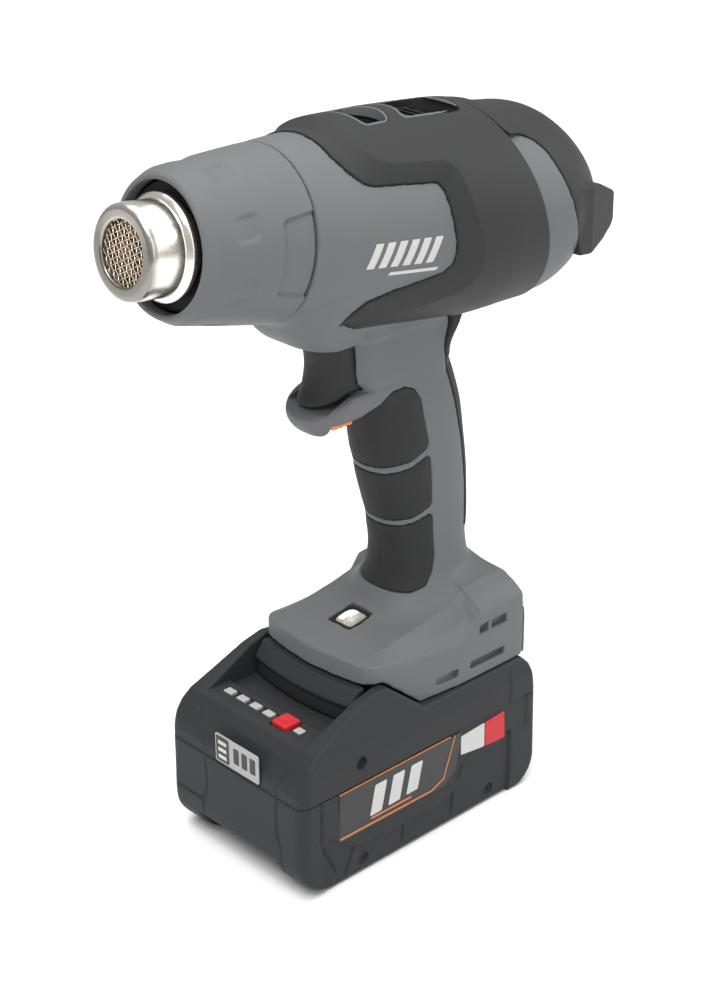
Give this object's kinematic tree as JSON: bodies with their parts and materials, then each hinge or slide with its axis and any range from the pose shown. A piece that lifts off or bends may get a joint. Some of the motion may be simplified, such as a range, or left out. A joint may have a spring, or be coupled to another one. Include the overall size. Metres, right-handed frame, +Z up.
{
  "type": "cordless heat gun",
  "caption": "Pistol-style cordless heat gun with a tilted barrel, steel nozzle, twist sleeve, trigger with lock slider and a slide-on battery pack.",
  "frame": {"origin": "centre of the battery pack's underside, which the tool stands on", "axes": "+Z up, the nozzle points towards -Y, +X is the left-hand side of the user"},
  "size_m": [0.084, 0.2335, 0.297],
  "materials": {
    "grey_plastic": "fine spark texture",
    "black_plastic": "fine spark texture",
    "soft_grip": "matt soft touch",
    "dark_trim": "smooth",
    "circuit_board": "solder mask",
    "light_pipe": "frosted",
    "steel": "polished",
    "ceramic": "fired",
    "resistance_wire": "drawn",
    "mica": "flaked",
    "plated": "zinc plated",
    "spring_steel": "drawn",
    "clear_lens": "clear",
    "contact_metal": "plated",
    "orange_plastic": "satin",
    "battery_black": "fine spark texture",
    "cell_wrap": "shrink film",
    "plate_silver": "satin",
    "label_dark": "satin film",
    "red_plastic": "satin"
  },
  "bodies": {
    "housing": {"housing_left": "grey_plastic", "housing_right": "grey_plastic", "cover_left": "black_plastic", "cover_right": "black_plastic", "grip_left": "soft_grip", "grip_right": "soft_grip", "handle_back_strip": "soft_grip", "rear_cap": "black_plastic", "rear_panel": "dark_trim", "panel_board": "circuit_board", "status_lights": "light_pipe", "intake_grille": "grey_plastic", "nozzle_tube": "steel", "nozzle_mesh": "steel", "heat_shield": "dark_trim", "heater_core": "ceramic", "heater_coils": "resistance_wire", "mica_sleeve": "mica", "heater_mount": "ceramic", "thermal_cutout": "plated", "temperature_sensor": "plated", "fan_housing": "dark_trim", "motor_plate": "dark_trim", "motor_can": "plated", "motor_end_cap": "dark_trim", "control_board": "circuit_board", "power_transistors": "dark_trim", "switch_body": "dark_trim", "trigger_spring": "spring_steel", "worklight_lens": "clear_lens", "worklight_board": "circuit_board", "terminal_block": "dark_trim", "terminal_blades": "contact_metal", "housing_screws": "plated", "stage_spring": "spring_steel"},
    "sleeve": {"front_sleeve": "grey_plastic"},
    "fan": {"fan_impeller": "dark_trim", "motor_shaft": "plated"},
    "trigger": {"trigger": "black_plastic"},
    "lock": {"lock_slider": "orange_plastic"},
    "stage_button": {"stage_button": "orange_plastic"},
    "battery": {"battery_upper_shell": "battery_black", "battery_lower_shell": "battery_black", "battery_cells": "cell_wrap", "cell_holder": "dark_trim", "cell_straps": "plated", "battery_board": "circuit_board", "battery_contacts": "contact_metal", "battery_screws": "plated", "gauge_window": "light_pipe", "battery_badge": "plate_silver", "battery_labels": "label_dark", "release_spring": "spring_steel"},
    "release_button": {"release_button": "battery_black"},
    "gauge_button": {"gauge_button": "red_plastic"}
  },
  "joints": [
    {"name": "sleeve_twist", "type": "hinge", "parent": "housing", "child": "sleeve", "pos_m": [0, -0.1065, 0.268], "axis": [0, 0.9936, -0.1132], "range_deg": [0, 20]},
    {"name": "fan_spin", "type": "hinge", "parent": "housing", "child": "fan", "pos_m": [0, -0.1065, 0.268], "axis": [0, 0.9936, -0.1132], "continuous": true},
    {"name": "trigger_pull", "type": "slide", "parent": "housing", "child": "trigger", "axis": [0, 1, 0], "range_m": [0, 0.006], "stiffness_N_per_m": 700, "springref_m": -0.004, "deforming": ["trigger_spring"]},
    {"name": "lock_slide", "type": "slide", "parent": "housing", "child": "lock", "axis": [0, -1, 0], "range_m": [0, 0.004]},
    {"name": "stage_press", "type": "slide", "parent": "housing", "child": "stage_button", "axis": [0, -1, 0], "range_m": [0, 0.0012], "stiffness_N_per_m": 1200, "springref_m": -0.0015, "deforming": ["stage_spring"]},
    {"name": "battery_slide", "type": "slide", "parent": "housing", "child": "battery", "axis": [0, -1, 0], "range_m": [0, 0.12]},
    {"name": "release_press", "type": "slide", "parent": "battery", "child": "release_button", "axis": [0, 1, 0], "range_m": [0, 0.003], "stiffness_N_per_m": 1500, "springref_m": -0.003, "deforming": ["release_spring"]},
    {"name": "gauge_press", "type": "slide", "parent": "battery", "child": "gauge_button", "axis": [0, 0, -1], "range_m": [0, 0.001], "stiffness_N_per_m": 1200, "springref_m": -0.0015}
  ]
}
